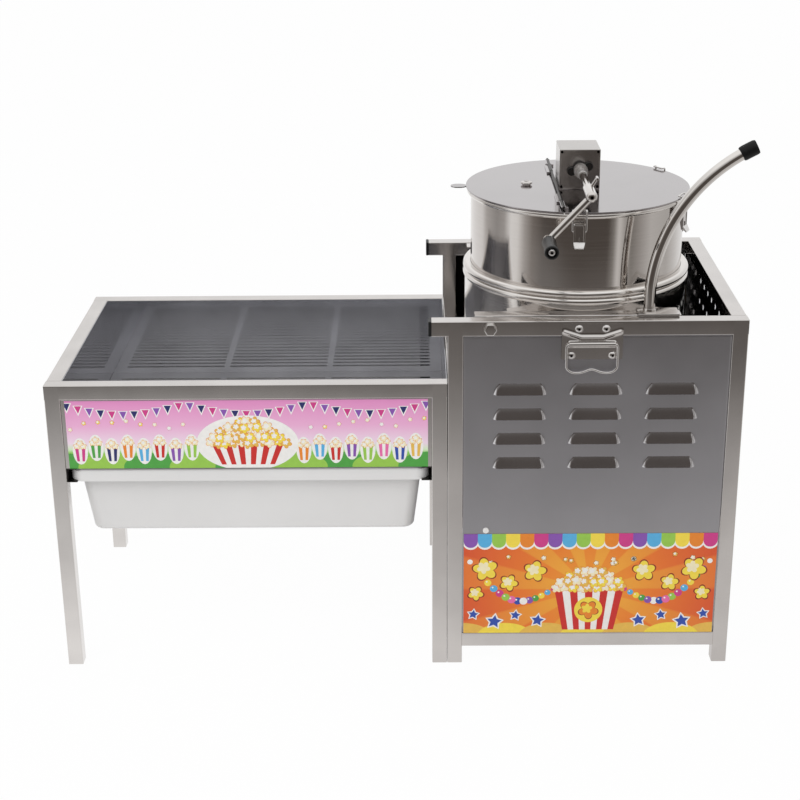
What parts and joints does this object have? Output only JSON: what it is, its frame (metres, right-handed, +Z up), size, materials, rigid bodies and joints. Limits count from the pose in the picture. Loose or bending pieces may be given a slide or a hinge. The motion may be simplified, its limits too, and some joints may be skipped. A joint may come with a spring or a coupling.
{
  "type": "popcorn machine",
  "caption": "Floor-standing popcorn machine: tipping pot with hand-cranked stirrer and hinged lid flap on a louvred cabinet, beside a slotted sifting table with a sliding kernel tub.",
  "frame": {"origin": "on the floor, under the middle of the whole machine's box", "axes": "+X from the sifting table to the cabinet, +Y away from the operator, +Z up"},
  "size_m": [1.1428, 0.5964, 0.9009],
  "materials": {
    "frame_steel": "polished stainless square tube",
    "panel_steel": "satin stainless sheet",
    "pot_steel": "mirror polished, spun and rolled",
    "lid_steel": "satin stainless sheet",
    "case_steel": "folded polished sheet",
    "turned_steel": "turned and polished bar",
    "plated_steel": "pressed or turned, bright plated",
    "black_iron": "black, cast",
    "brass": "turned brass",
    "black_plastic": "black, moulded",
    "black_rubber": "black, moulded",
    "white_plastic": "white, moulded",
    "printed_sheet": "colour print under a gloss film"
  },
  "bodies": {
    "stand": {"cabinet_legs": "frame_steel", "cabinet_top_rails": "frame_steel", "cabinet_cross_rails": "frame_steel", "rail_end_plugs": "black_plastic", "front_panel": "panel_steel", "rear_panel": "panel_steel", "right_panel": "panel_steel", "left_panel": "panel_steel", "cabinet_print": "printed_sheet", "panel_hole_plug": "white_plastic", "handle_plates": "plated_steel", "handle_screws": "plated_steel", "pivot_bolts": "plated_steel", "pivot_washers": "frame_steel", "pivot_nuts": "plated_steel", "burner_bars": "black_iron", "burner_ring": "black_iron", "gas_pipe": "brass", "table_legs": "frame_steel", "table_top_rails": "frame_steel", "tray_walls": "panel_steel", "sieve_plate": "panel_steel", "table_print": "printed_sheet", "tub_runners": "frame_steel"},
    "pot": {"tilt_bars": "frame_steel", "pivot_sleeves": "frame_steel", "drum": "pot_steel", "pot_bowl": "pot_steel", "lever_bracket": "frame_steel", "lever_tube": "frame_steel", "lever_cap": "black_rubber", "lid_plate": "lid_steel", "flap_hinge_rod": "plated_steel", "gearbox_case": "case_steel", "bearing_flanges": "black_iron", "flange_bolts": "black_iron", "stirrer_bush": "brass", "latch_bases": "plated_steel"},
    "flap": {"lid_flap": "lid_steel", "flap_knob": "plated_steel"},
    "crank": {"crank_shaft": "turned_steel", "crank_gear": "black_iron", "shaft_collar": "plated_steel", "crank_hub": "turned_steel", "crank_arm": "turned_steel", "grip_bolt": "plated_steel"},
    "grip": {"crank_grip": "black_plastic"},
    "clamp": {"clamp_screw": "plated_steel"},
    "stirrer": {"stirrer_shaft": "turned_steel", "stirrer_gear": "black_iron", "stirrer_blades": "turned_steel"},
    "front_bail": {"front_handle_bail": "plated_steel"},
    "rear_bail": {"rear_handle_bail": "plated_steel"},
    "tub": {"kernel_tub": "white_plastic"},
    "front_latch": {"front_latch_lever": "plated_steel"},
    "front_latch_loop": {"front_latch_bail": "plated_steel"},
    "right_latch": {"right_latch_lever": "plated_steel"},
    "right_latch_loop": {"right_latch_bail": "plated_steel"},
    "rear_latch": {"rear_latch_lever": "plated_steel"},
    "rear_latch_loop": {"rear_latch_bail": "plated_steel"}
  },
  "joints": [
    {"name": "pot_tilt", "type": "hinge", "parent": "stand", "child": "pot", "pos_m": [0.15242, 0.00125, 0.6075], "axis": [0, -1, 0], "range_deg": [0, 100]},
    {"name": "flap_lift", "type": "hinge", "parent": "pot", "child": "flap", "pos_m": [0.27092, 0.00125, 0.7867], "axis": [0, 1, 0], "range_deg": [0, 80]},
    {"name": "crank_spin", "type": "hinge", "parent": "pot", "child": "crank", "pos_m": [0.30842, 0.00125, 0.8183], "axis": [0, 1, 0], "continuous": true},
    {"name": "stirrer_spin", "type": "hinge", "parent": "pot", "child": "stirrer", "pos_m": [0.30842, 0.00125, 0.8183], "axis": [0, 0, 1], "continuous": true},
    {"name": "grip_spin", "type": "hinge", "parent": "crank", "child": "grip", "pos_m": [0.24295, -0.23475, 0.74809], "axis": [0, 1, 0], "continuous": true},
    {"name": "clamp_turn", "type": "hinge", "parent": "crank", "child": "clamp", "pos_m": [0.30842, -0.18675, 0.8183], "axis": [0.5299, 0, 0.848], "range_deg": [0, 360]},
    {"name": "front_latch_throw", "type": "hinge", "parent": "pot", "child": "front_latch", "pos_m": [0.29544, -0.1844, 0.76], "axis": [-0.9976, 0.0698, 0], "range_deg": [0, 92]},
    {"name": "front_loop_swing", "type": "hinge", "parent": "front_latch", "child": "front_latch_loop", "pos_m": [0.29512, -0.18898, 0.752], "axis": [-0.9976, 0.0698, 0], "range_deg": [-125, 0]},
    {"name": "right_latch_throw", "type": "hinge", "parent": "pot", "child": "right_latch", "pos_m": [0.47119, -0.08897, 0.76], "axis": [-0.4848, -0.8746, 0], "range_deg": [0, 92]},
    {"name": "right_loop_swing", "type": "hinge", "parent": "right_latch", "child": "right_latch_loop", "pos_m": [0.47521, -0.0912, 0.752], "axis": [-0.4848, -0.8746, 0], "range_deg": [-125, 0]},
    {"name": "rear_latch_throw", "type": "hinge", "parent": "pot", "child": "rear_latch", "pos_m": [0.46086, 0.10799, 0.76], "axis": [0.5736, -0.8192, 0], "range_deg": [0, 92]},
    {"name": "rear_loop_swing", "type": "hinge", "parent": "rear_latch", "child": "rear_latch_loop", "pos_m": [0.46463, 0.11063, 0.752], "axis": [0.5736, -0.8192, 0], "range_deg": [-125, 0]},
    {"name": "front_bail_swing", "type": "hinge", "parent": "stand", "child": "front_bail", "pos_m": [0.31542, -0.24845, 0.582], "axis": [-1, 0, 0], "range_deg": [0, 90]},
    {"name": "rear_bail_swing", "type": "hinge", "parent": "stand", "child": "rear_bail", "pos_m": [0.31542, 0.25095, 0.582], "axis": [1, 0, 0], "range_deg": [0, 90]},
    {"name": "tub_slide", "type": "slide", "parent": "stand", "child": "tub", "axis": [0, -1, 0], "range_m": [0, 0.35]}
  ],
  "couplings": [
    {"joint": "stirrer_spin", "follows": "crank_spin", "ratio": -1},
    {"joint": "front_loop_swing", "follows": "front_latch_throw", "ratio": -1.35},
    {"joint": "right_loop_swing", "follows": "right_latch_throw", "ratio": -1.35},
    {"joint": "rear_loop_swing", "follows": "rear_latch_throw", "ratio": -1.35}
  ]
}
